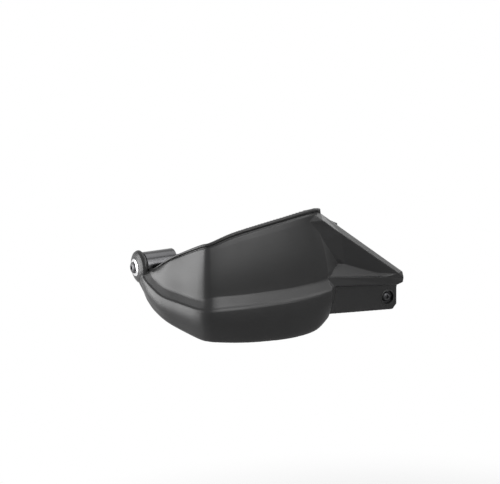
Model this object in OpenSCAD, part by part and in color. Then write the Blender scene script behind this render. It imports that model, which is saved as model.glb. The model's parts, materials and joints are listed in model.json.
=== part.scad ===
// Motorcycle hand guard for the right-hand end of a handlebar.
// The origin is where the handlebar's end face meets the bar end weight, on the bar's axis.
// X runs inboard along the bar, Y to the rear and Z up. Sizes are in millimetres.

/* [Handlebar] */
// Outside diameter of the handlebar
bar_d = 22.2; // [20:0.1:28.6]
// Inside diameter of the handlebar's open end
bar_bore_d = 16; // [13:0.1:19]

/* [Bar end] */
// Diameter of the bar end weight
weight_d = 30; // [26:0.5:34]
// Length of the bar end weight
weight_len = 35; // [24:1:50]
// Thickness of the rubber ring between the weight and the eye
eye_pad_t = 1.5; // [1:0.1:3]
// Outside diameter of the shell's eye
eye_d = 35; // [31:0.5:40]
// Length of the shell's eye along the bar
eye_len = 7.5; // [6.5:0.5:12]
// Outside diameter of the sleeve in the eye
sleeve_d = 9; // [8.5:0.1:11]
// Diameter of the dished washer
bar_washer_d = 18.4; // [16:0.2:24]
// Thickness of the dished washer
bar_washer_t = 1.4; // [1:0.1:2.5]
// Length of the expander sleeve inside the bar
expander_len = 24; // [18:1:36]

/* [Screws] */
// Thread diameter of the bar end screw and of the pad's screw
thread_d = 6; // [5:0.5:6]
// Head diameter of the bar end screw
bar_head_d = 12.4; // [10:0.2:14]
// Head diameter of the pad's screw
pad_head_d = 10.4; // [9.5:0.1:12]
// Height of the button heads
head_h = 2.8; // [2.4:0.1:4]
// Thread diameter of the clamp's screws
clamp_thread_d = 5; // [4:0.5:6]

/* [Shell] */
// Thickness of the moulded wall
wall = 3; // [2.4:0.1:4]
// Reach of the lower band in front of the bar's axis
reach = 103; // [90:1:120]
// Height of the rim's peak above the bar's axis
peak_z = 58.5; // [45:0.5:75]
// Height of the rim at the rounded front corner
rim_corner_z = 33.5; // [24:0.5:44]
// Depth of the ledge's outer edge below the bar's axis
ledge_drop = 30.5; // [24:0.5:38]
// Depth of the lower edge below the bar's axis
skirt_drop = 73; // [62:1:86]
// How far the ledge sets the upper panel back
ledge_w = 7; // [4:0.5:10]
// How far the rim leans back from the lower band's face
rim_back = 16; // [12:0.5:22]
// Outward bow of the upper panel
panel_bow = 1.6; // [0:0.2:4]
// Inward curl of the lower edge
skirt_curl = 7; // [3:0.5:10]
// Place of the bulge's inboard end along the bar
bulge_end = 142; // [130:1:155]

/* [Arm and pad] */
// Place of the pad's screw along the bar
pad_x = 214; // [204:1:224]
// Depth of the pad's screw below the bar's axis
pad_drop = 50; // [46:0.5:54]
// Distance of the pad's face in front of the bar's axis
pad_front = 78; // [72:0.5:88]
// Distance from the pad's screw to the shell's inboard end
pad_margin = 21; // [17:0.5:26]
// Diameter of the recess for the pad's screw
recess_d = 14.8; // [13:0.2:18]
// Depth of that recess
recess_depth = 4; // [3:0.5:5]
// Diameter of the boss behind the pad
boss_d = 22; // [19:0.5:24]
// Length of the boss behind the recess's floor
boss_len = 6; // [5:0.5:10]
// Outside diameter of the rubber bush in the boss
bush_d = 12; // [11:0.2:13]
// Thickness of the rubber bush's flange
bush_flange_t = 2; // [1.5:0.1:3]

/* [Bracket and clamp] */
// Place of the clamp's middle along the bar
clamp_x = 181; // [174:1:190]
// Width of the clamp along the bar
clamp_w = 20; // [16:1:26]
// Thickness of the clamp's wall around the bar
clamp_wall = 5; // [4:0.5:7]
// Gap between the clamp's two halves
clamp_gap = 1.2; // [0.6:0.1:2]
// Thickness of the bracket's plate
plate_t = 4; // [3:0.5:5]
// Width of the bracket's plate
plate_w = 22; // [20:1:26]

/* [Hidden] */
$fn = 64;
eps = 0.01;

// Clearance between a screw and the hole that it passes through
hole_clear = 0.25;
// Clearance between a thread and its tapped hole, with the thread itself left off
thread_clear = 0.05;
// Clearance around the sleeve, the bush and the spacer
seat_clear = 0.05;
// Clearance between the shell's wall and the bar end weight
weight_clear = 0.5;

black_plastic = [0.13, 0.13, 0.135];
polished = [0.85, 0.85, 0.86];
steel = [0.62, 0.62, 0.64];
dark_steel = [0.16, 0.16, 0.17];
black_rubber = [0.07, 0.07, 0.075];
black_alloy = [0.2, 0.2, 0.21];

// Stations along the bar, from the bar's end outwards
weight_x = -weight_len;
eye_in_x = weight_x - eye_pad_t;
eye_x = eye_in_x - eye_len;
washer_x = eye_x - bar_washer_t;

// Stations through the pad, from its face to the nut
recess_y = -pad_front + recess_depth;
boss_y = recess_y + boss_len;
plate_y = boss_y + bush_flange_t;
nut_y = plate_y + plate_t;
pad_washer_t = 1.2;
pad_washer_d = recess_d - 1;
nut_h = 5;
nut_af = 10;

// The clamp
clamp_r = bar_d / 2 + clamp_wall;
clamp_ear = clamp_thread_d / 2 + 2.4;
clamp_screw_z = bar_d / 2 + clamp_thread_d / 2 + 1.6;
clamp_top = clamp_screw_z + clamp_ear;
clamp_front = clamp_r + 4;
clamp_back = clamp_r;
bracket_bolt_d = thread_d;

function lerp(a, b, t) = a + (b - a) * t;
function clamp01(t) = max(0, min(1, t));

// The rim's height from the front corner at 0 to the peak at 1
function rim_z(t) = lerp(rim_corner_z, peak_z, t);

// The arm's inboard end, and its face beside the bulge: where the end wall starts, at the bottom of the
// recess, along the shelf and the beam below it, and at the pad's root
end_x = pad_x + pad_margin;
wall_top_front = 86;
wall_top_z = 25;
deep_front = 76;
deep_z = -4;
shelf_z = -13.5;
beam_front = 90;
beam_low_z = -24;
pad_root_front = 86;

// A smooth curve through the values p, read at t from 0 to len(p) - 1
function curve(p, t) =
    let (n = len(p) - 1, i = min(n - 1, floor(t)), f = t - i)
    let (a = p[max(0, i - 1)], b = p[i], c = p[i + 1], d = p[min(n, i + 2)])
    0.5 * (2 * b + (c - a) * f + (2 * a - 5 * b + 4 * c - d) * f * f
        + (3 * b - a - 3 * c + d) * f * f * f);

// The guide stations of the moulded bulge, from the eye to its inboard end. Each gives the place of the
// lower band's face in plan, the heights of the lower edge, the ledge's edge, the crease above the ledge
// and the rim, and how much of the ledge's width and of the rim's set-back the section has there.
guides = [
    [eye_x + 1.8, -1, -eye_d * 0.40, -eye_d * 0.14,
        -eye_d * 0.08, 0.5, 0.30, 0.15],
    [eye_x + 1.4, -eye_d * 0.35, -skirt_drop * 0.32, -ledge_drop * 0.21,
        -ledge_drop * 0.02, rim_z(-1.3), 1.05, 0.50],
    [eye_x + 1.0, -reach * 0.195, -skirt_drop * 0.44, -ledge_drop * 0.33,
        -ledge_drop * 0.08, rim_z(-1.27), 1.05, 0.70],
    [eye_x + 2.5, -reach * 0.31, -skirt_drop * 0.56, -ledge_drop * 0.49,
        -ledge_drop * 0.23, rim_z(-1.03), 1, 0.85],
    [eye_x * 0.83, -reach * 0.475, -skirt_drop * 0.67, -ledge_drop * 0.73,
        -ledge_drop * 0.44, rim_z(-0.66), 1, 0.93],
    [eye_x * 0.585, -reach * 0.65, -skirt_drop * 0.78, -ledge_drop * 0.87,
        -ledge_drop * 0.58, rim_z(-0.29), 1, 1],
    [eye_x * 0.302, -reach * 0.843, -skirt_drop * 0.87, -ledge_drop,
        -ledge_drop * 0.69, rim_z(0.06), 1, 1],
    [eye_x * 0.111, -reach * 0.924, -skirt_drop * 0.89, -ledge_drop * 1.02,
        -ledge_drop * 0.68, rim_z(0.13), 1, 1],
    [bulge_end * 0.045, -reach * 0.959, -skirt_drop * 0.91, -ledge_drop * 1.01,
        -ledge_drop * 0.64, rim_z(0.215), 1, 1],
    [bulge_end * 0.20, -reach * 0.984, -skirt_drop * 0.95, -ledge_drop * 1.02,
        -ledge_drop * 0.66, rim_z(0.46), 1, 1],
    [bulge_end * 0.37, -reach * 0.998, -skirt_drop * 0.98, -ledge_drop * 1.03,
        -ledge_drop * 0.67, rim_z(0.64), 1, 1],
    [bulge_end * 0.63, -reach, -skirt_drop, -ledge_drop * 1.035,
        -ledge_drop * 0.67, rim_z(0.86), 1, 1],
    [bulge_end * 0.86, -reach * 0.98, -skirt_drop * 0.955, -ledge_drop * 0.99,
        -ledge_drop * 0.62, peak_z, 1, 1],
    [bulge_end, -reach * 0.945, -skirt_drop * 0.81, -ledge_drop * 0.94,
        -ledge_drop * 0.58, peak_z, 1, 1]
];
guide_steps = 5;
guide_n = len(guides) - 1;
station_n = guide_n * guide_steps;

// How far each row of the section stops short of the bulge's end, and the number of guide stations over
// which that builds up
panel_lean = 1.5;
lean_from = 5.4;
lip_short = 8;
crease_short = 4;
lean_span = 2;

// One row of the section: its set-back from the band's face, its height and how far it stops short
function section(g) =
    let (low = g[2], edge = g[3], crease = g[4], rim = g[5], lw = ledge_w * g[6], back = rim_back * g[7])
    let (h = rim - crease, s = clamp01(h / 12), w = min(1, g[6]), curl = skirt_curl * g[7] * g[7])
    let (step_z = rim - 1.8 * s - 0.06 * h, bow = panel_bow * g[7])
    concat(
        [
            [back + 0.6 * s, rim, lip_short],
            [back - 0.6 * s, rim - 0.5 * s, lip_short],
            [back - s, rim - 1.8 * s, lip_short],
            [back + 0.9 * s, rim - 1.8 * s - 0.035 * h, lip_short],
            [back - 0.5 * s, step_z, lip_short + 2]
        ],
        [for (i = [1:4]) let (t = i / 5, d = lerp(back - 0.8 * s, lw + 0.2, t) - bow * sin(180 * t))
            [d, lerp(step_z, crease + 1.6 * s, t), panel_lean * max(0, d - lean_from)]],
        [
            [lw + 0.1, crease + 1.6 * s, crease_short],
            [lw - 0.7 * w, crease - 0.2, crease_short],
            [lw * 0.3, lerp(edge, crease, 0.27), 0],
            [0.6 * w, edge + 0.9 * w, 0],
            [0, edge - 0.9 * w, 0]
        ],
        [for (i = [1:4]) let (t = i / 5)
            [curl * 0.55 * t * t - 0.8 * g[7] * sin(180 * t), lerp(edge - 0.9 * w, low + 6, t), 0]],
        [
            [curl * 0.55, low + 6, 0],
            [curl * 0.72, low + 3, 0],
            [curl, low, 0]
        ]
    );

function guide(t) = [for (c = [0:7]) curve([for (g = guides) g[c]], t)];

// The inward direction in plan at t, square to the band's face
function inward(t) =
    let (a = guide(max(0, t - 0.3)), b = guide(min(guide_n, t + 0.3)))
    let (d = [b[0] - a[0], b[1] - a[1]], l = norm(d))
    [-d[1] / l, d[0] / l];

function skin(t, inset) =
    let (g = guide(t), q = inward(t), k = clamp01((t - guide_n) / lean_span + 1))
    [for (r = section(g)) let (d = r[0] + inset)
        [g[0] + q[0] * d - k * (r[2] + inset), g[1] + q[1] * d, r[1]]];

// The foot of the bulge's end wall on the arm, as [height, place in front of the bar's axis], and how
// much that wall runs inboard for 1 mm of its depth
foot_line = [
    [peak_z, -pad_front - 3.5],
    [wall_top_z, -wall_top_front],
    [deep_z, -deep_front],
    [shelf_z, -beam_front + 1.5],
    [shelf_z - 1.5, -beam_front],
    [beam_low_z, -beam_front - 1.5],
    [beam_low_z - 2.5, -pad_root_front],
    [-skirt_drop, -pad_root_front]
];
function along(p, z, i = 0) =
    i >= len(p) - 2 || z > p[i + 1][0]
    ? lerp(p[i][1], p[i + 1][1], clamp01((p[i][0] - z) / (p[i][0] - p[i + 1][0])))
    : along(p, z, i + 1);
function wall_run(z) =
    z > shelf_z ? 1.44 : lerp(0.15, 0.85, clamp01((z + skirt_drop * 0.81) / (beam_low_z + skirt_drop * 0.81)));
function foot(inset) =
    [for (p = skin(guide_n, inset)) let (y = max(p[1] + 0.5, along(foot_line, p[2]) + wall / 2))
        [p[0] + wall_run(p[2]) * (y - p[1]), y, p[2]]];

// Each station is a closed loop: the outer skin from rim to lower edge, then the inner skin back up
function reversed(p) = [for (i = [len(p) - 1:-1:0]) p[i]];
function loop(t) = concat(skin(t, 0), reversed(skin(t, wall)));
loops = concat(
    [for (i = [0:station_n]) loop(i / guide_steps)],
    [concat(foot(0), reversed(foot(wall)))]
);

// A closed solid from loops of points that all have the same number of points
module loft(loops) {
    n = len(loops);
    m = len(loops[0]);
    half = m / 2;
    polyhedron(
        points = [for (l = loops, p = l) p],
        faces = concat(
            [for (i = [0:n - 2], j = [0:m - 1]) let (k = (j + 1) % m)
                [i * m + j, (i + 1) * m + j, i * m + k]],
            [for (i = [0:n - 2], j = [0:m - 1]) let (k = (j + 1) % m)
                [i * m + k, (i + 1) * m + j, (i + 1) * m + k]],
            [for (e = [0, 1], j = [0:half - 2], h = [0, 1])
                let (b = e * (n - 1) * m, o = [b + j, b + m - 1 - j, b + j + 1, b + m - 2 - j])
                let (f = h == 0 ? [o[0], o[1], o[2]] : [o[1], o[3], o[2]])
                e == 0 ? [f[0], f[2], f[1]] : f]
        ),
        convexity = 8
    );
}

// Corners of the arm's front face between the bulge and the pad. Those with root in their name lie
// hidden behind the bulge's end wall.
root_x = bulge_end - 8;
lip_root = [bulge_end - 22, -pad_front - 3.5, peak_z - 1];
lip_end = [bulge_end - 7, -pad_front - 2, peak_z - 1];
bevel_top = [bulge_end - 6, -pad_front - 1, peak_z - 6.5];
facet_root = [bulge_end - 22, -wall_top_front, peak_z - 12];
bevel_in = [bulge_end - 6.8, -pad_front - 7, peak_z - 13];
bend = [bulge_end + 15.5, -pad_front - 5, peak_z - 30.5];
wall_root = [bulge_end - 12, -wall_top_front, wall_top_z];
deep_root = [root_x, -deep_front, deep_z + 3];
deep = [bulge_end + 22.7, -deep_front - 0.5, deep_z - 3.5];
valley_root = [root_x, -beam_front + 1.2, shelf_z - 1.2];
valley_end = [pad_x - 7, -pad_front - 2.1, -pad_drop + 24.1];
fold_end = [pad_x - 12.6, -pad_front - 0.5, -pad_drop + 28.8];
ridge_root = [root_x, -beam_front, shelf_z - 1.3];
ridge_end = [pad_x - 3, -pad_front - 3.3, -pad_drop + 23.7];
beam_root = [root_x, -beam_front - 1.5, beam_low_z];
beam_end = [end_x - 11, -pad_front - 1.8, -pad_drop + 13.5];
pad_root = [root_x, -pad_root_front, beam_low_z - 2.5];
rim_in = [end_x - 7.5, -pad_front - 2, -pad_drop + 24.7];
rim_out = [end_x - 0.5, -pad_front + 2, -pad_drop + 25];
corner_out = [end_x, -pad_front + 0.5, -pad_drop + 18.5];
corner_low = [end_x - 1.5, -pad_front - 0.5, -pad_drop + 14];
pad_top_end = [end_x - 9, -pad_front, -pad_drop + 11.7];
pad_side_end = [end_x - 9.5, -pad_front, -pad_drop - 9];
pad_low_end = [end_x - 14.4, -pad_front, -pad_drop - 14.4];
pad_low_mid = [bulge_end + 18, -pad_front - 6, -pad_drop - 8.5];
pad_low_root = [root_x, -pad_root_front, -pad_drop - 6];

arm_points = [
    lip_root, lip_end, bevel_top, rim_out, corner_out, corner_low, pad_top_end, pad_side_end,
    pad_low_end, pad_low_mid, pad_low_root, pad_root, beam_root, ridge_root, valley_root, deep_root,
    wall_root, facet_root, bevel_in, bend, deep, fold_end, valley_end, ridge_end, beam_end, rim_in
];
arm_border = 18;
arm_faces = [
    [0, 1, 2], [0, 2, 18], [0, 18, 17],
    [2, 3, 19], [2, 19, 18], [3, 25, 19],
    [17, 18, 19], [17, 19, 16], [16, 19, 20], [16, 20, 15],
    [19, 25, 21], [19, 21, 20], [25, 22, 21],
    [15, 20, 14], [20, 22, 14], [20, 21, 22],
    [14, 22, 23], [14, 23, 13], [22, 25, 23],
    [3, 4, 25], [25, 4, 23], [23, 4, 5], [23, 5, 24], [13, 23, 24], [13, 24, 12],
    [24, 5, 6], [12, 24, 6], [12, 6, 11],
    [11, 6, 7], [11, 7, 10], [7, 8, 9], [7, 9, 10]
];

// A plate from a triangulated front face, thickened towards the rear
module faceted_plate(points, faces, border, t) {
    n = len(points);
    polyhedron(
        points = concat(points, [for (p = points) p + [0, t, 0]]),
        faces = concat(
            [for (f = faces) f],
            [for (f = faces) [f[2] + n, f[1] + n, f[0] + n]],
            [for (i = [0:border - 1]) let (j = (i + 1) % border) [j, i, i + n]],
            [for (i = [0:border - 1]) let (j = (i + 1) % border) [j, i + n, j + n]]
        ),
        convexity = 6
    );
}

// A revolved solid around the bar's axis: points are [place along the bar, radius]
module turned(points) {
    rotate([0, 90, 0])
        rotate_extrude()
            polygon([for (p = points) [p[1], p[0]]]);
}

// A round bar along the bar's axis
module bar_round(d, x0, x1) {
    translate([x0, 0, 0])
        rotate([0, 90, 0])
            cylinder(d = d, h = x1 - x0);
}

// A round bar along Y, at x and z
module cross_round(d, y0, y1, x, z) {
    translate([x, y0, z])
        rotate([-90, 0, 0])
            cylinder(d = d, h = y1 - y0);
}

module eye_body() {
    r = eye_d / 2;
    turned([
        [eye_in_x, 0], [eye_in_x, r - 0.8], [eye_in_x - 0.8, r], [eye_x + 5, r],
        [eye_x + 2.6, r - 1.2], [eye_x + 0.9, r - 3.8], [eye_x, r - 7], [eye_x, 0]
    ]);
}

module pad_boss() {
    cross_round(boss_d, -pad_front + 1.2, boss_y, pad_x, -pad_drop);
}

module shell() {
    color(black_plastic)
    difference() {
        union() {
            loft(loops);
            faceted_plate(arm_points, arm_faces, arm_border, wall);
            eye_body();
            pad_boss();
        }
        bar_round(sleeve_d + 2 * seat_clear, eye_x - 1, eye_in_x + 1);
        bar_round(weight_d + 2 * weight_clear, eye_in_x, 0);
        cross_round(recess_d, -pad_front - 6, recess_y, pad_x, -pad_drop);
        cross_round(bush_d + 2 * seat_clear, recess_y - 1, boss_y + 1, pad_x, -pad_drop);
    }
}

module eye_sleeve() {
    color(steel)
    difference() {
        bar_round(sleeve_d, eye_x, eye_in_x);
        bar_round(thread_d + 2 * hole_clear, eye_x - 1, eye_in_x + 1);
    }
}

module eye_pad() {
    color(black_rubber)
    difference() {
        bar_round(weight_d - 2, eye_in_x, weight_x);
        bar_round(thread_d + 2 * hole_clear, eye_in_x - 1, weight_x + 1);
    }
}

module bar_end_washer() {
    r = bar_washer_d / 2;
    hole = thread_d / 2 + hole_clear;
    color(polished)
    turned([
        [eye_x, hole], [eye_x, r - 0.3], [eye_x - 0.3, r], [eye_x - 0.7, r - 0.3],
        [washer_x, r - 2], [washer_x, hole]
    ]);
}

// A button head with a hexagonal socket, standing on the plane z = 0 and rising to h
module button_head(d, h, socket) {
    r = d / 2;
    difference() {
        rotate_extrude()
            polygon([
                [0, 0], [r - 0.2, 0], [r, 0.3], [r * 0.97, h * 0.35], [r * 0.86, h * 0.65],
                [r * 0.7, h * 0.88], [r * 0.52, h], [0, h]
            ]);
        translate([0, 0, h * 0.35])
            cylinder(d = socket / cos(30), h = h, $fn = 6);
    }
}

bar_screw_end = expander_len + 8;

module bar_end_screw() {
    color(dark_steel)
    union() {
        translate([washer_x, 0, 0])
            rotate([0, -90, 0])
                button_head(bar_head_d, head_h, thread_d * 0.67);
        bar_round(thread_d, washer_x - eps, bar_screw_end);
    }
}

module bar_end_weight() {
    r = weight_d / 2;
    hole = thread_d / 2 + hole_clear;
    color(polished)
    turned([
        [weight_x, hole], [weight_x, r - 0.8], [weight_x + 0.25, r - 0.25], [weight_x + 0.8, r],
        [-0.8, r], [-0.25, r - 0.25], [0, r - 0.8], [0, hole]
    ]);
}

expander_r = bar_bore_d / 2 - 0.1;
cone_small_r = thread_d / 2 + 1.6;
cone_large_r = expander_r - 0.5;
cone_seat = 8;

module expander_sleeve() {
    hole = thread_d / 2 + hole_clear;
    color(black_rubber)
    difference() {
        turned([
            [0, hole], [0, expander_r - 0.5], [0.5, expander_r], [expander_len - 0.5, expander_r],
            [expander_len, expander_r - 0.3], [expander_len, cone_large_r - 0.6],
            [expander_len - cone_seat, cone_small_r], [expander_len - cone_seat, hole]
        ]);
        for (a = [45, 135])
            rotate([a, 0, 0])
                translate([expander_len - cone_seat * 1.6, -0.6, -expander_r - 1])
                    cube([cone_seat * 2, 1.2, 2 * expander_r + 2]);
    }
}

module expander_cone() {
    hole = thread_d / 2 + thread_clear;
    slope = (cone_large_r - 0.6 - cone_small_r) / cone_seat;
    color(steel)
    turned([
        [expander_len - cone_seat + 1, hole],
        [expander_len - cone_seat + 1, cone_small_r + slope - 0.05],
        [expander_len, cone_large_r - 0.65],
        [expander_len + 2, cone_large_r],
        [expander_len + 5, cone_large_r],
        [expander_len + 5, hole]
    ]);
}

pad_screw_end = nut_y + nut_h + 1.5;

module mount_screw() {
    seat = recess_y - pad_washer_t;
    color(dark_steel)
    union() {
        translate([pad_x, seat, -pad_drop])
            rotate([90, 0, 0])
                button_head(pad_head_d, head_h, thread_d * 0.67);
        cross_round(thread_d, seat - eps, pad_screw_end, pad_x, -pad_drop);
    }
}

module mount_washer() {
    color(dark_steel)
    difference() {
        cross_round(pad_washer_d, recess_y - pad_washer_t, recess_y, pad_x, -pad_drop);
        cross_round(thread_d + 2 * hole_clear, recess_y - 3, recess_y + 1, pad_x, -pad_drop);
    }
}

spacer_d = thread_d + 2.6;

module mount_grommet() {
    color(black_rubber)
    difference() {
        union() {
            cross_round(bush_d, recess_y, plate_y, pad_x, -pad_drop);
            cross_round(bush_d + 7, boss_y, plate_y, pad_x, -pad_drop);
        }
        cross_round(spacer_d + 2 * seat_clear, recess_y - 1, plate_y + 1, pad_x, -pad_drop);
    }
}

module mount_spacer() {
    color(steel)
    difference() {
        cross_round(spacer_d, recess_y, plate_y, pad_x, -pad_drop);
        cross_round(thread_d + 2 * hole_clear, recess_y - 1, plate_y + 1, pad_x, -pad_drop);
    }
}

module mount_nut() {
    color(steel)
    difference() {
        translate([pad_x, nut_y, -pad_drop])
            rotate([-90, 0, 0])
                cylinder(d = nut_af / cos(30), h = nut_h, $fn = 6);
        cross_round(thread_d + 2 * thread_clear, nut_y - 1, nut_y + nut_h + 1, pad_x, -pad_drop);
    }
}

// The bracket's middle line in side view: down the clamp's face, back and down, then down the pad
bracket_line = [
    [-clamp_front - plate_t, clamp_top - 4],
    [-clamp_front - plate_t, -14],
    [plate_y, -pad_drop + 12],
    [plate_y, -pad_drop - plate_w / 2]
];

module bracket_side() {
    polygon(concat(
        bracket_line,
        reversed([for (p = bracket_line) p + [plate_t, 0]])
    ));
}

// The plate's outline in front view: straight sides with a round end at the clamp and at the pad
function round_end(c, r, from) = [for (a = [0:10:180]) c + r * [cos(from + a), sin(from + a)]];

module bracket_front() {
    run = [pad_x - clamp_x, -pad_drop];
    along = atan2(run[1], run[0]);
    polygon(concat(
        round_end([pad_x, -pad_drop], plate_w / 2, along - 90),
        round_end([clamp_x, 0], plate_w / 2, along + 90)
    ));
}

module bracket() {
    color(black_alloy)
    difference() {
        intersection() {
            translate([clamp_x - plate_w, 0, 0])
                rotate([90, 0, 90])
                    linear_extrude(pad_x - clamp_x + 2 * plate_w)
                        bracket_side();
            rotate([90, 0, 0])
                translate([0, 0, -10])
                    linear_extrude(pad_front + 20)
                        bracket_front();
        }
        cross_round(thread_d + 2 * hole_clear, plate_y - 5, nut_y + 5, pad_x, -pad_drop);
        cross_round(bracket_bolt_d + 2 * hole_clear, -clamp_front - plate_t - 5, -clamp_front + 5, clamp_x, 0);
    }
}

bracket_washer_t = 1.4;

module bracket_lock_washer() {
    face = -clamp_front - plate_t;
    color(steel)
    difference() {
        cross_round(11, face - bracket_washer_t, face, clamp_x, 0);
        cross_round(bracket_bolt_d + 2 * hole_clear, face - 5, face + 1, clamp_x, 0);
        translate([clamp_x, face - 5, -0.5])
            cube([8, 10, 1]);
    }
}

bracket_screw_in = 6;

module bracket_screw() {
    seat = -clamp_front - plate_t - bracket_washer_t;
    color(dark_steel)
    union() {
        translate([clamp_x, seat, 0])
            rotate([90, 0, 0])
                button_head(10, 5, 5);
        cross_round(bracket_bolt_d, seat - eps, -clamp_front + bracket_screw_in, clamp_x, 0);
    }
}

module clamp_block(y0, y1) {
    translate([clamp_x - clamp_w / 2, y0, -clamp_top])
        cube([clamp_w, y1 - y0, 2 * clamp_top]);
}

module clamp_bore() {
    bar_round(bar_d, clamp_x - clamp_w, clamp_x + clamp_w);
}

module clamp_base() {
    color(black_alloy)
    difference() {
        union() {
            intersection() {
                clamp_block(-clamp_r, -clamp_gap / 2);
                union() {
                    bar_round(2 * clamp_r, clamp_x - clamp_w, clamp_x + clamp_w);
                    clamp_block(-9, 0);
                }
            }
            translate([clamp_x - clamp_w / 2, -clamp_front, -9])
                cube([clamp_w, clamp_front - bar_d / 2 - 1, 18]);
        }
        clamp_bore();
        for (s = [-1, 1])
            cross_round(clamp_thread_d + 2 * thread_clear, -clamp_front, 1, clamp_x, s * clamp_screw_z);
        cross_round(bracket_bolt_d + 2 * thread_clear, -clamp_front - 1, -clamp_front + bracket_screw_in + 0.6,
            clamp_x, 0);
    }
}

cap_ear_y = 7;

module clamp_cap() {
    color(black_alloy)
    difference() {
        intersection() {
            clamp_block(clamp_gap / 2, clamp_back);
            union() {
                bar_round(2 * clamp_r, clamp_x - clamp_w, clamp_x + clamp_w);
                clamp_block(0, cap_ear_y);
            }
        }
        clamp_bore();
        for (s = [-1, 1])
            cross_round(clamp_thread_d + 2 * hole_clear, 0, clamp_back + 1, clamp_x, s * clamp_screw_z);
        for (s = [-1, 1])
            cross_round(clamp_thread_d * 1.8, cap_ear_y, clamp_back + 1, clamp_x, s * clamp_screw_z);
    }
}

module clamp_screw(side) {
    z = side * clamp_screw_z;
    color(dark_steel)
    difference() {
        union() {
            cross_round(clamp_thread_d * 1.7, cap_ear_y, cap_ear_y + clamp_thread_d, clamp_x, z);
            cross_round(clamp_thread_d, -8, cap_ear_y + eps, clamp_x, z);
        }
        translate([clamp_x, cap_ear_y + clamp_thread_d * 0.5, z])
            rotate([-90, 0, 0])
                cylinder(d = clamp_thread_d * 0.8 / cos(30), h = clamp_thread_d, $fn = 6);
    }
}

module clamp_screw_upper() {
    clamp_screw(1);
}

module clamp_screw_lower() {
    clamp_screw(-1);
}

shell();
eye_sleeve();
eye_pad();
bar_end_washer();
bar_end_screw();
bar_end_weight();
expander_sleeve();
expander_cone();
mount_screw();
mount_washer();
mount_grommet();
mount_spacer();
bracket();
mount_nut();
bracket_screw();
bracket_lock_washer();
clamp_base();
clamp_cap();
clamp_screw_upper();
clamp_screw_lower();
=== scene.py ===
import json
import math

import bmesh
import bpy
from mathutils import Matrix, Vector


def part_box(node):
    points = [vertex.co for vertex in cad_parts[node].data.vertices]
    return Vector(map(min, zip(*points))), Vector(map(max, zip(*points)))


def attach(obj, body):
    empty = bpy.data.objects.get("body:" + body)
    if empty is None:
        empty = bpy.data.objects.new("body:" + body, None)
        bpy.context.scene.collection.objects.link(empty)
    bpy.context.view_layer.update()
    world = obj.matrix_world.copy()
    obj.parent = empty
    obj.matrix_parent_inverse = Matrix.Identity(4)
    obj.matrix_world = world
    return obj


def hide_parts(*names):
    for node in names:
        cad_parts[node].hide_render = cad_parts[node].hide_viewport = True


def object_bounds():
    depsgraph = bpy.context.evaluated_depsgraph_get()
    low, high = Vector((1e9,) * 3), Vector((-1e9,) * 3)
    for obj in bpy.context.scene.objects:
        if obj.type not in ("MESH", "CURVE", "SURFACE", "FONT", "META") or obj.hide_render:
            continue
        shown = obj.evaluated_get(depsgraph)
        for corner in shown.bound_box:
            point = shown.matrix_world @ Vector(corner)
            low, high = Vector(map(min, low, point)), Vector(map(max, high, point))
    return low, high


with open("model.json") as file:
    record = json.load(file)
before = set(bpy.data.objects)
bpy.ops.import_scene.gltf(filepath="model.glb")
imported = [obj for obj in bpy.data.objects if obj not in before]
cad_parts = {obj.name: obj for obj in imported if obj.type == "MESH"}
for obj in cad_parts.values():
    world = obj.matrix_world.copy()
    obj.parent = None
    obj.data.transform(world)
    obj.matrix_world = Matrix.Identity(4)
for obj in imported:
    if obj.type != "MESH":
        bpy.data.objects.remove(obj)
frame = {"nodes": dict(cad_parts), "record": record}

cad_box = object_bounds()
MM = 0.001

# Camera: the viewing angle, the roll and the framing of the photograph, 500 by 484 pixels
FRAME_W, FRAME_H = 500, 484
AZIMUTH, ELEVATION, ROLL = -25.0, 14.0, 1.5
DISTANCE = 2.4
METRES_PER_PIXEL = 0.00105
SENSOR_MM = 36.0
# The middle of the eye's outer face, and where the photograph shows it
EYE_POINT = Vector((-0.046, 0.0, 0.0))
EYE_PIXEL = (133.2, 267.7)

# The shell's driving sizes in millimetres, as in the CAD
WALL = 3.0
REACH = 103.0
PEAK_Z = 58.5
RIM_CORNER_Z = 33.5
LEDGE_DROP = 30.5
SKIRT_DROP = 73.0
LEDGE_W = 7.0
RIM_BACK = 16.0
PANEL_BOW = 1.6
SKIRT_CURL = 7.0
BULGE_END = 142.0
EYE_D = 35.0
PAD_X = 214.0
PAD_DROP = 50.0
PAD_FRONT = 78.0
PAD_MARGIN = 21.0
# The pad's face from its root to its far edge, and how much further forward it is at the root
PAD_NEAR_X, PAD_FAR_X, PAD_SLANT = BULGE_END + 18, PAD_X + PAD_MARGIN - 9.5, 6
BEAD_HEIGHT = 0.6
RECESS_D = 14.8
RECESS_DEPTH = 4.0
BOSS_D = 22.0
BOSS_LEN = 6.0
BUSH_D = 12.1
SLEEVE_D = 9.1
WEIGHT_CLEAR = 0.5

# The eye's two faces and the weight's diameter, from the CAD nodes beside them
EYE_IN_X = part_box("eye_pad")[0][0] / MM
EYE_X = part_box("eye_sleeve")[0][0] / MM
WEIGHT_D = (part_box("bar_end_weight")[1][2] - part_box("bar_end_weight")[0][2]) / MM

# How finely the shell's skin is meshed, smoothed and thinned, and the angle that keeps its shading apart
REMESH_DEPTH = 9
REMESH_SCALE = 0.99
SMOOTH_FACTOR, SMOOTH_PASSES = 0.5, 3
MAX_TRIANGLES = 150000
SHARP_ANGLE = math.radians(50)
NORMAL_WEIGHT = 100

# The floor turns white away from these middles: for the camera, and in reflections
FLOOR_BELOW = 0.26
FLOOR_HALF = 30.0
FLOOR_GREY = 0.50
SEEN_MIDDLE, SEEN_FADE = (0.05, -0.30), (0.30, 0.60)
MIRRORED_MIDDLE, MIRRORED_FADE = (0.60, -1.00), (1.20, 1.80)

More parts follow.
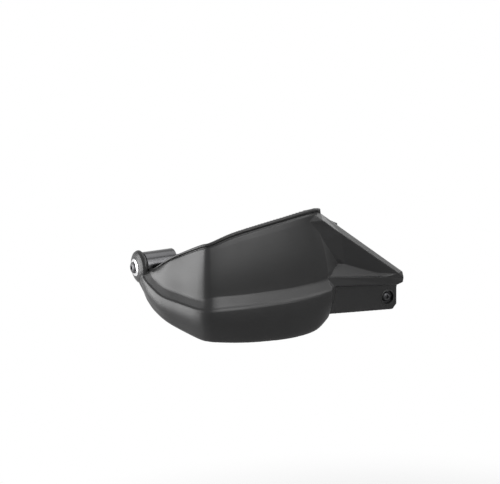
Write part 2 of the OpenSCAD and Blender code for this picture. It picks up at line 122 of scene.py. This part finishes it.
# The world's light on the object, and the lamps: name, place, aim, size in metres and power in watts
WORLD_LIGHT = 0.07
MIDDLE = (0.08, -0.05, 0.0)
LAMPS = [
    ("left", (-0.75, 0.22, 0.08), (0.0, -0.05, 0.0), (0.85, 0.75), 20),
    ("strip", (-0.72, -0.12, 0.10), (0.0, -0.08, 0.0), (0.16, 0.7), 2.8),
    ("key", (0.38, -1.66, 1.00), MIDDLE, (0.75, 1.1), 22),
    ("fill", (0.50, -1.78, 0.26), MIDDLE, (0.70, 0.5), 4.2),
    ("front_top", (1.05, -0.95, 1.25), MIDDLE, (0.7, 0.9), 10),
    ("top", (0.45, 0.2, 1.7), MIDDLE, (1.2, 1.2), 10),
    ("right", (1.70, 0.30, 0.80), MIDDLE, (1.1, 0.7), 16),
]


def lerp(a, b, t):
    return a + (b - a) * t


def clamp01(t):
    return max(0.0, min(1.0, t))


def curve(p, t):
    """A smooth curve through the values p, read at t from 0 to len(p) - 1."""
    n = len(p) - 1
    i = min(n - 1, int(math.floor(t)))
    f = t - i
    a, b, c, d = p[max(0, i - 1)], p[i], p[i + 1], p[min(n, i + 2)]
    square, cube = 2 * a - 5 * b + 4 * c - d, 3 * b - a - 3 * c + d
    return 0.5 * (2 * b + (c - a) * f + square * f * f + cube * f ** 3)


def rim_z(t):
    """The rim's height from the front corner at 0 to the peak at 1."""
    return lerp(RIM_CORNER_Z, PEAK_Z, t)


# The guide stations of the moulded bulge, as in the CAD: x and y in plan; the heights of the lower edge, the
# ledge's edge, the crease and the rim; the shares of the ledge's width and of the rim's set-back
GUIDES = [
    (EYE_X + 1.8, -1, -EYE_D * 0.40, -EYE_D * 0.14,
     -EYE_D * 0.08, 0.5, 0.30, 0.15),
    (EYE_X + 1.4, -EYE_D * 0.35, -SKIRT_DROP * 0.32, -LEDGE_DROP * 0.21,
     -LEDGE_DROP * 0.02, rim_z(-1.3), 1.05, 0.50),
    (EYE_X + 1.0, -REACH * 0.195, -SKIRT_DROP * 0.44, -LEDGE_DROP * 0.33,
     -LEDGE_DROP * 0.08, rim_z(-1.27), 1.05, 0.70),
    (EYE_X + 2.5, -REACH * 0.31, -SKIRT_DROP * 0.56, -LEDGE_DROP * 0.49,
     -LEDGE_DROP * 0.23, rim_z(-1.03), 1, 0.85),
    (EYE_X * 0.83, -REACH * 0.475, -SKIRT_DROP * 0.67, -LEDGE_DROP * 0.73,
     -LEDGE_DROP * 0.44, rim_z(-0.66), 1, 0.93),
    (EYE_X * 0.585, -REACH * 0.65, -SKIRT_DROP * 0.78, -LEDGE_DROP * 0.87,
     -LEDGE_DROP * 0.58, rim_z(-0.29), 1, 1),
    (EYE_X * 0.302, -REACH * 0.843, -SKIRT_DROP * 0.87, -LEDGE_DROP,
     -LEDGE_DROP * 0.69, rim_z(0.06), 1, 1),
    (EYE_X * 0.111, -REACH * 0.924, -SKIRT_DROP * 0.89, -LEDGE_DROP * 1.02,
     -LEDGE_DROP * 0.68, rim_z(0.13), 1, 1),
    (BULGE_END * 0.045, -REACH * 0.959, -SKIRT_DROP * 0.91, -LEDGE_DROP * 1.01,
     -LEDGE_DROP * 0.64, rim_z(0.215), 1, 1),
    (BULGE_END * 0.20, -REACH * 0.984, -SKIRT_DROP * 0.95, -LEDGE_DROP * 1.02,
     -LEDGE_DROP * 0.66, rim_z(0.46), 1, 1),
    (BULGE_END * 0.37, -REACH * 0.998, -SKIRT_DROP * 0.98, -LEDGE_DROP * 1.03,
     -LEDGE_DROP * 0.67, rim_z(0.64), 1, 1),
    (BULGE_END * 0.63, -REACH, -SKIRT_DROP, -LEDGE_DROP * 1.035,
     -LEDGE_DROP * 0.67, rim_z(0.86), 1, 1),
    (BULGE_END * 0.86, -REACH * 0.98, -SKIRT_DROP * 0.955, -LEDGE_DROP * 0.99,
     -LEDGE_DROP * 0.62, PEAK_Z, 1, 1),
    (BULGE_END, -REACH * 0.945, -SKIRT_DROP * 0.81, -LEDGE_DROP * 0.94,
     -LEDGE_DROP * 0.58, PEAK_Z, 1, 1),
]
GUIDE_N = len(GUIDES) - 1
FINE_STEPS = 14
PANEL_ROWS = 12
# The panel turns the front corner in a wider curve than the band: over how many guides, from what set-back
CORNER_SPAN, CORNER_FROM = 1.3, 1.0

# How far each row of the section stops short of the bulge's end, and over how many guides that builds up
PANEL_LEAN, LEAN_FROM, LIP_SHORT, CREASE_SHORT, BAND_SHORT, LEAN_SPAN = 1.5, 5.4, 8.0, 4.0, 4.5, 2

# The step along the guides that gives the band's direction
TANGENT_STEP = 0.3

# How far the bulge's end wall runs inboard for 1 mm of depth: above the shelf, at its foot, under the beam
RUN_ABOVE, RUN_FOOT, RUN_BEAM = 1.44, 0.55, 1.05

# The arm's face beside the bulge
WALL_TOP_FRONT, WALL_TOP_Z = 86.0, 25.0
DEEP_FRONT, DEEP_Z = 76.0, -4.0
SHELF_Z = -13.5
BEAM_FRONT, BEAM_LOW_Z = 90.0, -24.0
PAD_ROOT_FRONT = 86.0
FOOT_LINE = [
    (PEAK_Z, -PAD_FRONT - 3.5),
    (WALL_TOP_Z, -WALL_TOP_FRONT),
    (DEEP_Z, -DEEP_FRONT),
    (SHELF_Z, -BEAM_FRONT + 1.5),
    (SHELF_Z - 1.5, -BEAM_FRONT),
    (BEAM_LOW_Z, -BEAM_FRONT - 1.5),
    (BEAM_LOW_Z - 2.5, -PAD_ROOT_FRONT),
    (-SKIRT_DROP, -PAD_ROOT_FRONT),
]


def section(g):
    """The section's rows at a guide: set-back from the band's face, height, and how far each stops short."""
    low, edge, crease, rim = g[2:6]
    lw, back = LEDGE_W * g[6], RIM_BACK * g[7]
    h = rim - crease
    s = clamp01(h / 12)
    w = min(1, g[6])
    curl = SKIRT_CURL * g[7] * g[7]
    step_z = rim - 1.8 * s - 0.06 * h
    rows = [
        (back + 0.6 * s, rim, LIP_SHORT),
        (back - 0.6 * s, rim - 0.5 * s, LIP_SHORT),
        (back - s, rim - 1.8 * s, LIP_SHORT),
        (back + 0.9 * s, rim - 1.8 * s - 0.035 * h, LIP_SHORT),
        (back - 0.5 * s, step_z, LIP_SHORT + 2),
    ]
    for i in range(1, PANEL_ROWS):
        t = i / PANEL_ROWS
        d = lerp(back - 0.8 * s, lw + 0.2, t) - PANEL_BOW * g[7] * math.sin(math.pi * t)
        rows.append((d, lerp(step_z, crease + 1.6 * s, t), PANEL_LEAN * max(0, d - LEAN_FROM)))
    rows += [
        (lw + 0.1, crease + 1.6 * s, CREASE_SHORT),
        (lw - 0.7 * w, crease - 0.2, CREASE_SHORT),
        (lw * 0.3, lerp(edge, crease, 0.27), BAND_SHORT * 0.5),
        (0.6 * w, edge + 0.9 * w, BAND_SHORT * 0.7),
        (0, edge - 0.9 * w, BAND_SHORT),
    ]
    for i in range(1, PANEL_ROWS):
        t = i / PANEL_ROWS
        bow = 0.8 * g[7] * math.sin(math.pi * t)
        rows.append((curl * 0.55 * t * t - bow, lerp(edge - 0.9 * w, low + 6, t), BAND_SHORT))
    rows += [(curl * 0.55, low + 6, BAND_SHORT), (curl * 0.72, low + 3, BAND_SHORT), (curl, low, BAND_SHORT)]
    return rows


def guide(t):
    """The eight values of a guide at any place between the stations."""
    return [curve([g[c] for g in GUIDES], t) for c in range(8)]


def inward(t):
    """The inward direction in plan at t, square to the band's face."""
    a, b = guide(max(0, t - TANGENT_STEP)), guide(min(GUIDE_N, t + TANGENT_STEP))
    dx, dy = b[0] - a[0], b[1] - a[1]
    length = math.hypot(dx, dy)
    return -dy / length, dx / length


def wide_inward(t):
    """The inward direction averaged along the band, so that the panel turns the corner in a wide curve."""
    turns = [inward(max(0, min(GUIDE_N, t + CORNER_SPAN * k / 4))) for k in range(-4, 5)]
    x, y = sum(q[0] for q in turns), sum(q[1] for q in turns)
    length = math.hypot(x, y)
    return x / length, y / length


def skin(t, inset):
    """The section's points at t, moved inward by the inset."""
    g = guide(t)
    narrow, wide = inward(t), wide_inward(t)
    k = clamp01((t - GUIDE_N) / LEAN_SPAN + 1)
    rows = []
    for d, z, short in section(g):
        share = clamp01((d - CORNER_FROM) / (RIM_BACK - CORNER_FROM))
        q = [lerp(n, w, share) for n, w in zip(narrow, wide)]
        length = math.hypot(*q)
        rows.append((
            g[0] + q[0] / length * (d + inset) - k * (short + inset),
            g[1] + q[1] / length * (d + inset),
            z,
        ))
    return rows


def along(line, z):
    """The place in front of the bar's axis that the line has at height z."""
    for (z0, y0), (z1, y1) in zip(line, line[1:]):
        if z > z1:
            return lerp(y0, y1, clamp01((z0 - z) / (z0 - z1)))
    return line[-1][1]


def wall_run(z):
    """The end wall's run at height z."""
    if z > SHELF_Z:
        return RUN_ABOVE
    foot_z = GUIDES[-1][2]
    return lerp(RUN_FOOT, RUN_BEAM, clamp01((z - foot_z) / (BEAM_LOW_Z - foot_z)))


def foot(inset):
    """The section's points where the end wall meets the arm."""
    rows = []
    for x, y, z in skin(GUIDE_N, inset):
        place = max(y + 0.5, along(FOOT_LINE, z) + WALL / 2)
        rows.append((x + wall_run(z) * (place - y), place, z))
    return rows


def mesh_object(name, points, faces):
    """A new object from points in millimetres, with its faces turned outward."""
    mesh = bpy.data.meshes.new(name)
    mesh.from_pydata([Vector(p) * MM for p in points], [], faces)
    mesh.validate()
    bm = bmesh.new()
    bm.from_mesh(mesh)
    bmesh.ops.recalc_face_normals(bm, faces=bm.faces)
    bm.to_mesh(mesh)
    bm.free()
    obj = bpy.data.objects.new(name, mesh)
    bpy.context.collection.objects.link(obj)
    return obj


def bulge_mesh():
    """The bulge as a closed skin: loops along the guides, joined by quads and capped at both ends."""
    count = GUIDE_N * FINE_STEPS
    loops = [skin(i / FINE_STEPS, 0) + skin(i / FINE_STEPS, WALL)[::-1] for i in range(count + 1)]
    loops.append(foot(0) + foot(WALL)[::-1])
    m = len(loops[0])
    points = [p for loop in loops for p in loop]
    faces = []
    for i in range(len(loops) - 1):
        for j in range(m):
            k = (j + 1) % m
            faces.append((i * m + j, (i + 1) * m + j, (i + 1) * m + k, i * m + k))
    for b, flip in ((0, True), ((len(loops) - 1) * m, False)):
        for j in range(m // 2 - 1):
            quad = (b + j, b + m - 1 - j, b + m - 2 - j, b + j + 1)
            faces.append(quad[::-1] if flip else quad)
    return mesh_object("bulge_form", points, faces)


def arm_corners():
    """Corners of the arm's front face between the bulge and the pad, and its triangles."""
    be, pf, pd, px, pk = BULGE_END, PAD_FRONT, PAD_DROP, PAD_X, PEAK_Z
    end_x, root_x = px + PAD_MARGIN, be - 8
    points = [
        (be - 22, -pf - 3.5, pk - 1),
        (be - 7, -pf - 2, pk - 1),
        (be - 6, -pf - 1, pk - 6.5),
        (end_x - 0.5, -pf + 2, -pd + 25),
        (end_x, -pf + 0.5, -pd + 18.5),
        (end_x - 1.5, -pf - 0.5, -pd + 14),
        (end_x - 9, -pf, -pd + 11.7),
        (PAD_FAR_X, -pf, -pd - 9),
        (end_x - 14.4, -pf, -pd - 14.4),
        (PAD_NEAR_X, -pf - PAD_SLANT, -pd - 8.5),
        (root_x, -PAD_ROOT_FRONT, -pd - 6),
        (root_x, -PAD_ROOT_FRONT, BEAM_LOW_Z - 2.5),
        (root_x, -BEAM_FRONT - 1.5, BEAM_LOW_Z),
        (root_x, -BEAM_FRONT, SHELF_Z - 1.3),
        (root_x, -BEAM_FRONT + 1.2, SHELF_Z - 1.2),
        (root_x, -DEEP_FRONT, DEEP_Z + 3),
        (be - 12, -WALL_TOP_FRONT, WALL_TOP_Z),
        (be - 22, -WALL_TOP_FRONT, pk - 12),
        (be - 6.8, -pf - 7, pk - 13),
        (be + 15.5, -pf - 5, pk - 30.5),
        (be + 22.7, -DEEP_FRONT - 0.5, DEEP_Z - 3.5),
        (px - 12.6, -pf - 0.5, -pd + 28.8),
        (px - 7, -pf - 2.1, -pd + 24.1),
        (px - 3, -pf - 3.3, -pd + 23.7),
        (end_x - 11, -pf - 1.8, -pd + 13.5),
        (end_x - 7.5, -pf - 2, -pd + 24.7),
    ]
    border = 18
    faces = [
        (0, 1, 2), (0, 2, 18), (0, 18, 17),
        (2, 3, 19), (2, 19, 18), (3, 25, 19),
        (17, 18, 19), (17, 19, 16), (16, 19, 20), (16, 20, 15),
        (19, 25, 21), (19, 21, 20), (25, 22, 21),
        (15, 20, 14), (20, 22, 14), (20, 21, 22),
        (14, 22, 23), (14, 23, 13), (22, 25, 23),
        (3, 4, 25), (25, 4, 23), (23, 4, 5), (23, 5, 24), (13, 23, 24), (13, 24, 12),
        (24, 5, 6), (12, 24, 6), (12, 6, 11),
        (11, 6, 7), (11, 7, 10), (7, 8, 9), (7, 9, 10),
    ]
    return points, faces, border


def arm_mesh():
    """The arm as a closed plate: its front face, the same face one wall further back, and the border."""
    points, front, border = arm_corners()
    n = len(points)
    points = points + [(x, y + WALL, z) for x, y, z in points]
    faces = [f[::-1] for f in front] + [tuple(i + n for i in f) for f in front]
    for i in range(border):
        j = (i + 1) % border
        faces.append((i, j, j + n, i + n))
    return mesh_object("arm_form", points, faces)


def revolve(name, profile, axis, origin, segments=96):
    """A solid of revolution: profile points are (place along the axis, radius), closed on the axis."""
    points, faces, rings = [], [], []
    for place, radius in profile:
        if radius <= 0:
            rings.append([len(points)])
            points.append((place, 0.0, 0.0))
            continue
        rings.append(list(range(len(points), len(points) + segments)))
        for s in range(segments):
            a = 2 * math.pi * s / segments
            points.append((place, radius * math.cos(a), radius * math.sin(a)))
    for lower, upper in zip(rings, rings[1:]):
        for s in range(segments):
            e = (s + 1) % segments
            quad = [ring[i % len(ring)] for ring, i in ((lower, s), (lower, e), (upper, e), (upper, s))]
            face = [v for i, v in enumerate(quad) if v not in quad[:i]]
            if len(face) > 2:
                faces.append(face[::-1])
    order = {"x": (0, 1, 2), "y": (2, 0, 1)}[axis]
    placed = [tuple(p[k] + o for k, o in zip(order, origin)) for p in points]
    return mesh_object(name, placed, faces)


def tube_points(place0, place1, radius):
    """The profile of a plain round form from one place to the other."""
    return [(place0, 0), (place0, radius), (place1, radius), (place1, 0)]


def eye_mesh():
    """The eye, domed on its outer side and with a small chamfer on its inner one."""
    r = EYE_D / 2
    profile = [
        (EYE_X, 0), (EYE_X, r - 7), (EYE_X + 0.9, r - 3.8), (EYE_X + 2.6, r - 1.2), (EYE_X + 5, r),
        (EYE_IN_X - 0.8, r), (EYE_IN_X, r - 0.8), (EYE_IN_X, 0),
    ]
    return revolve("eye_form", profile, "x", (0, 0, 0))


def apply_modifiers(obj):
    bpy.context.view_layer.update()
    evaluated = obj.evaluated_get(bpy.context.evaluated_depsgraph_get())
    mesh = bpy.data.meshes.new_from_object(evaluated)
    obj.modifiers.clear()
    obj.data = mesh
    return obj


def combine(obj, other, operation):
    """Joins the other form to obj or cuts it away, and removes the other form."""
    mod = obj.modifiers.new("combine", "BOOLEAN")
    mod.operation = operation
    mod.solver = "MANIFOLD"
    mod.object = other
    apply_modifiers(obj)
    bpy.data.objects.remove(other)


def bead_mesh():
    """A low disc on the pad's slanting face, which the counterbore turns into a raised ring."""
    slope = PAD_SLANT / (PAD_FAR_X - PAD_NEAR_X)
    face_y = -PAD_FRONT - slope * (PAD_FAR_X - PAD_X)
    r = RECESS_D / 2
    top = -BEAD_HEIGHT
    profile = [(2, 0), (2, r + 1.3), (0, r + 1.3), (top + 0.2, r + 1.05), (top, r + 0.6), (top, 0)]
    bead = revolve("bead_form", profile, "y", (0, 0, 0))
    place = Matrix.Translation(Vector((PAD_X, face_y, -PAD_DROP)) * MM)
    bead.data.transform(place @ Matrix.Rotation(math.atan(slope), 4, "Z"))
    return bead


def mark_sharp(obj):
    """Keeps the shading apart across the drilled edges, which the smoothing left sharp."""
    bm = bmesh.new()
    bm.from_mesh(obj.data)
    for edge in bm.edges:
        edge.smooth = not (edge.is_manifold and edge.calc_face_angle() > SHARP_ANGLE)
    bm.to_mesh(obj.data)
    bm.free()


def shell_piece():
    """The moulded shell, with its fillets: the same forms as the CAD's, joined, rounded and drilled."""
    recess_y = -PAD_FRONT + RECESS_DEPTH
    boss_y = recess_y + BOSS_LEN
    at_pad = (PAD_X, 0, -PAD_DROP)
    boss = revolve("boss_form", tube_points(-PAD_FRONT + 1.2, boss_y, BOSS_D / 2), "y", at_pad)
    shell = bulge_mesh()
    shell.name = "shell_skin"
    for part in (arm_mesh(), eye_mesh(), boss):
        combine(shell, part, "UNION")
    remesh = shell.modifiers.new("remesh", "REMESH")
    remesh.mode = "SMOOTH"
    remesh.octree_depth = REMESH_DEPTH
    remesh.scale = REMESH_SCALE
    remesh.use_remove_disconnected = True
    apply_modifiers(shell)
    smooth = shell.modifiers.new("smooth", "SMOOTH")
    smooth.factor = SMOOTH_FACTOR
    smooth.iterations = SMOOTH_PASSES
    apply_modifiers(shell)
    combine(shell, bead_mesh(), "UNION")
    for cutter in (
        revolve("sleeve_bore", tube_points(EYE_X - 5, EYE_IN_X + 5, SLEEVE_D / 2), "x", (0, 0, 0)),
        revolve("weight_space", tube_points(EYE_IN_X, 0, WEIGHT_D / 2 + WEIGHT_CLEAR), "x", (0, 0, 0)),
        revolve("counterbore", tube_points(-PAD_FRONT - 8, recess_y, RECESS_D / 2), "y", at_pad),
        revolve("bush_bore", tube_points(recess_y - 1, boss_y + 2, BUSH_D / 2), "y", at_pad),
    ):
        combine(shell, cutter, "DIFFERENCE")
    decimate = shell.modifiers.new("decimate", "DECIMATE")
    decimate.ratio = min(1.0, MAX_TRIANGLES / sum(len(p.vertices) - 2 for p in shell.data.polygons))
    apply_modifiers(shell)
    mark_sharp(shell)
    weighted = shell.modifiers.new("weighted", "WEIGHTED_NORMAL")
    weighted.keep_sharp = True
    weighted.mode = "FACE_AREA"
    weighted.weight = NORMAL_WEIGHT
    for polygon in shell.data.polygons:
        polygon.use_smooth = True
    apply_modifiers(shell)
    shell.data.materials.clear()
    for polygon in shell.data.polygons:
        polygon.material_index = 0
    return shell


def new_material(name):
    material = bpy.data.materials.new(name)
    material.use_nodes = True
    nodes = material.node_tree.nodes
    return material, nodes, material.node_tree.links, nodes["Principled BSDF"]


def noise(nodes, links, coords, scale, detail=4.0, rough=0.5):
    node = nodes.new("ShaderNodeTexNoise")
    node.inputs["Scale"].default_value = scale
    node.inputs["Detail"].default_value = detail
    node.inputs["Roughness"].default_value = rough
    links.new(coords, node.inputs["Vector"])
    return node.outputs["Fac"]


def ramp(nodes, links, value, low, high, a, b):
    """Maps value from low..high to the colours or greys a..b."""
    node = nodes.new("ShaderNodeValToRGB")
    node.color_ramp.elements[0].position = low
    node.color_ramp.elements[1].position = high
    node.color_ramp.elements[0].color = a
    node.color_ramp.elements[1].color = b
    links.new(value, node.inputs["Fac"])
    return node.outputs["Color"]


def grey(v):
    return (v, v, v, 1.0)


def bump(nodes, links, height, shader, strength, distance):
    node = nodes.new("ShaderNodeBump")
    node.inputs["Strength"].default_value = strength
    node.inputs["Distance"].default_value = distance
    links.new(height, node.inputs["Height"])
    links.new(node.outputs["Normal"], shader.inputs["Normal"])


def object_coords(nodes):
    return nodes.new("ShaderNodeTexCoord").outputs["Object"]


def edge_wear_and_highlight(nodes, links, low, high):
    """1 along the convex edges of a dense mesh, 0 on its faces."""
    geometry = nodes.new("ShaderNodeNewGeometry")
    node = nodes.new("ShaderNodeMapRange")
    node.interpolation_type = "SMOOTHSTEP"
    node.inputs["From Min"].default_value = low
    node.inputs["From Max"].default_value = high
    links.new(geometry.outputs["Pointiness"], node.inputs["Value"])
    return node.outputs["Result"]


def mixed(nodes, links, factor, a, b):
    node = nodes.new("ShaderNodeMix")
    node.data_type = "RGBA"
    for socket, value in ((node.inputs[6], a), (node.inputs[7], b)):
        if isinstance(value, tuple):
            socket.default_value = value
        else:
            links.new(value, socket)
    links.new(factor, node.inputs[0])
    return node.outputs[2]


def moulded_plastic():
    """Black moulded plastic with a fine grain, faint flow marks and slightly polished edges, whose lighter
    colour is partly a painted highlight.
    """
    material, nodes, links, shader = new_material("black_plastic")
    coords = object_coords(nodes)
    broad = noise(nodes, links, coords, 16.0, 3.0)
    body = ramp(nodes, links, broad, 0.3, 0.7, (0.007, 0.007, 0.0072, 1), (0.010, 0.010, 0.0102, 1))
    # Convex edges: lower roughness from rubbing, and a lighter colour that is partly rubbed plastic, partly
    # a painted highlight
    worn_and_highlight = edge_wear_and_highlight(nodes, links, 0.53, 0.62)
    links.new(mixed(nodes, links, worn_and_highlight, body, (0.028, 0.028, 0.0285, 1)), shader.inputs["Base Color"])
    marks = noise(nodes, links, coords, 45.0, 5.0, 0.6)
    satin = ramp(nodes, links, marks, 0.3, 0.7, grey(0.34), grey(0.40))
    links.new(mixed(nodes, links, worn_and_highlight, satin, grey(0.30)), shader.inputs["Roughness"])
    shader.inputs["Specular IOR Level"].default_value = 0.27
    bump(nodes, links, noise(nodes, links, coords, 1100.0, 2.0), shader, 0.10, 0.00008)
    return material


# The other finishes: scale and detail of the colour's noise, where it starts, its two colours, its two
# roughnesses, how metallic it is, and the grain's scale, detail, strength and depth in metres
FINISHES = {
    "polished_metal": (60.0, 4.0, 0.3, (0.72, 0.72, 0.73), (0.80, 0.80, 0.81), 0.10, 0.17, 1.0,
        (1500.0, 2.0, 0.08, 0.00005)),
    "satin_metal": (60.0, 4.0, 0.3, (0.05, 0.05, 0.052), (0.07, 0.07, 0.072), 0.20, 0.27, 1.0,
        (1500.0, 2.0, 0.10, 0.00005)),
    "black_screw": (300.0, 4.0, 0.35, (0.02, 0.02, 0.022), (0.05, 0.05, 0.052), 0.32, 0.45, 0.6,
        (1800.0, 2.0, 0.15, 0.00006)),
    "zinc_steel": (200.0, 5.0, 0.3, (0.48, 0.48, 0.49), (0.60, 0.60, 0.61), 0.26, 0.40, 1.0,
        (1200.0, 2.0, 0.12, 0.00006)),
    "black_rubber": (150.0, 4.0, 0.3, (0.012, 0.012, 0.012), (0.02, 0.02, 0.02), 0.68, 0.80, 0.0,
        (1500.0, 3.0, 0.4, 0.00015)),
    "black_bracket": (80.0, 4.0, 0.3, (0.018, 0.018, 0.019), (0.028, 0.028, 0.029), 0.45, 0.55, 0.0,
        (1400.0, 2.0, 0.35, 0.0001)),
}


def finish(name):
    """A metal, rubber or coating with uneven colour and gloss and a fine grain."""
    scale, detail, start, dark, light, gloss, dull, metallic, grain = FINISHES[name]
    material, nodes, links, shader = new_material(name)
    coords = object_coords(nodes)
    broad = noise(nodes, links, coords, scale, detail)
    links.new(ramp(nodes, links, broad, start, 0.7, (*dark, 1), (*light, 1)), shader.inputs["Base Color"])
    links.new(ramp(nodes, links, broad, 0.3, 0.7, grey(gloss), grey(dull)), shader.inputs["Roughness"])
    shader.inputs["Metallic"].default_value = metallic
    grain_scale, grain_detail, strength, depth = grain
    bump(nodes, links, noise(nodes, links, coords, grain_scale, grain_detail), shader, strength, depth)
    return material


def dress_nodes():
    """Gives every CAD node the finish of its slot, and the weight a darker one."""
    made = {name: finish(name) for name in FINISHES}
    made["black_plastic"] = moulded_plastic()
    slots = {s["node"]: s["material_slot"] for s in frame["record"]["subparts"]}
    for node, obj in frame["nodes"].items():
        obj.data.materials.clear()
        obj.data.materials.append(made["satin_metal" if node == "bar_end_weight" else slots[node]])
    return made


def ray_kind(nodes, links, names):
    """1 for the kinds of ray that are named, 0 for the others."""
    path = nodes.new("ShaderNodeLightPath")
    seen = path.outputs[names[0]]
    for name in names[1:]:
        either = nodes.new("ShaderNodeMath")
        either.operation = "MAXIMUM"
        links.new(seen, either.inputs[0])
        links.new(path.outputs[name], either.inputs[1])
        seen = either.outputs[0]
    return seen


def far_share(nodes, links, middle, start, end, names):
    """1 far from the middle for the kinds of ray that are named, 0 near it and for the others."""
    distance = nodes.new("ShaderNodeVectorMath")
    distance.operation = "DISTANCE"
    distance.inputs[1].default_value = middle
    links.new(object_coords(nodes), distance.inputs[0])
    away = nodes.new("ShaderNodeMapRange")
    away.interpolation_type = "SMOOTHSTEP"
    away.inputs["From Min"].default_value = start
    away.inputs["From Max"].default_value = end
    links.new(distance.outputs["Value"], away.inputs["Value"])
    share = nodes.new("ShaderNodeMath")
    share.operation = "MULTIPLY"
    links.new(away.outputs["Result"], share.inputs[0])
    links.new(ray_kind(nodes, links, names), share.inputs[1])
    return share.outputs[0]


def floor(z):
    """A pale floor that takes the object's shadow and turns to plain white away from it."""
    mesh = bpy.data.meshes.new("floor")
    corners = [(-1, -1), (1, -1), (1, 1), (-1, 1)]
    mesh.from_pydata([(x * FLOOR_HALF, y * FLOOR_HALF, z) for x, y in corners], [], [(0, 1, 2, 3)])
    obj = bpy.data.objects.new("floor", mesh)
    bpy.context.collection.objects.link(obj)
    material, nodes, links, shader = new_material("floor")
    shader.inputs["Base Color"].default_value = grey(FLOOR_GREY)
    shader.inputs["Roughness"].default_value = 0.9
    shader.inputs["Specular IOR Level"].default_value = 0.1
    seen = far_share(nodes, links, (*SEEN_MIDDLE, z), *SEEN_FADE, ["Is Camera Ray"])
    mirror_rays = ["Is Glossy Ray", "Is Transmission Ray"]
    mirrored = far_share(nodes, links, (*MIRRORED_MIDDLE, z), *MIRRORED_FADE, mirror_rays)
    share = nodes.new("ShaderNodeMath")
    share.operation = "MAXIMUM"
    links.new(seen, share.inputs[0])
    links.new(mirrored, share.inputs[1])
    white = nodes.new("ShaderNodeEmission")
    white.inputs["Color"].default_value = (1, 1, 1, 1)
    white.inputs["Strength"].default_value = 1.0
    mix = nodes.new("ShaderNodeMixShader")
    links.new(share.outputs[0], mix.inputs[0])
    links.new(shader.outputs[0], mix.inputs[1])
    links.new(white.outputs[0], mix.inputs[2])
    links.new(mix.outputs[0], nodes["Material Output"].inputs["Surface"])
    obj.data.materials.append(material)


def area_light(name, place, target, size, power):
    light = bpy.data.lights.new(name, "AREA")
    light.shape = "RECTANGLE"
    light.size, light.size_y = size
    light.energy = power
    obj = bpy.data.objects.new(name, light)
    obj.location = place
    obj.visible_camera = False
    obj.rotation_euler = (Vector(target) - Vector(place)).to_track_quat("-Z", "Y").to_euler()
    bpy.context.collection.objects.link(obj)


def studio():
    """The pale surroundings and the lamps, which the camera doesn't see."""
    world = bpy.data.worlds.new("studio")
    bpy.context.scene.world = world
    world.use_nodes = True
    nodes, links = world.node_tree.nodes, world.node_tree.links
    nodes["Background"].inputs["Color"].default_value = (1, 1, 1, 1)
    strength = nodes.new("ShaderNodeMapRange")
    strength.inputs["To Min"].default_value = WORLD_LIGHT
    strength.inputs["To Max"].default_value = 1.0
    seen = ray_kind(nodes, links, ["Is Camera Ray", "Is Glossy Ray", "Is Transmission Ray"])
    links.new(seen, strength.inputs["Value"])
    links.new(strength.outputs["Result"], nodes["Background"].inputs["Strength"])
    for lamp in LAMPS:
        area_light(*lamp)


def camera():
    """The camera that shows the eye at its place in the photograph, at the photograph's angle and scale."""
    a, e, r = (math.radians(v) for v in (AZIMUTH, ELEVATION, ROLL))
    back = Vector((math.sin(a) * math.cos(e), -math.cos(a) * math.cos(e), math.sin(e)))
    flat_right = Vector((math.cos(a), math.sin(a), 0))
    flat_up = back.cross(flat_right)
    right = flat_right * math.cos(r) - flat_up * math.sin(r)
    up = flat_right * math.sin(r) + flat_up * math.cos(r)
    across = (EYE_PIXEL[0] - FRAME_W / 2) * METRES_PER_PIXEL
    over = (FRAME_H / 2 - EYE_PIXEL[1]) * METRES_PER_PIXEL
    place = EYE_POINT + back * DISTANCE - right * across - up * over
    data = bpy.data.cameras.new("camera")
    data.sensor_width = SENSOR_MM
    data.lens = SENSOR_MM * DISTANCE / METRES_PER_PIXEL / FRAME_W
    data.clip_end = 50
    obj = bpy.data.objects.new("camera", data)
    turn = Matrix((right, up, back)).transposed().to_4x4()
    obj.matrix_world = Matrix.Translation(place) @ turn
    bpy.context.collection.objects.link(obj)
    bpy.context.scene.camera = obj


materials = dress_nodes()
shell = shell_piece()
shell.data.materials.append(materials["black_plastic"])
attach(shell, "root")
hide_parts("shell")
floor(cad_box[0][2] - FLOOR_BELOW)
studio()
camera()
bpy.context.scene.view_settings.view_transform = "Standard"
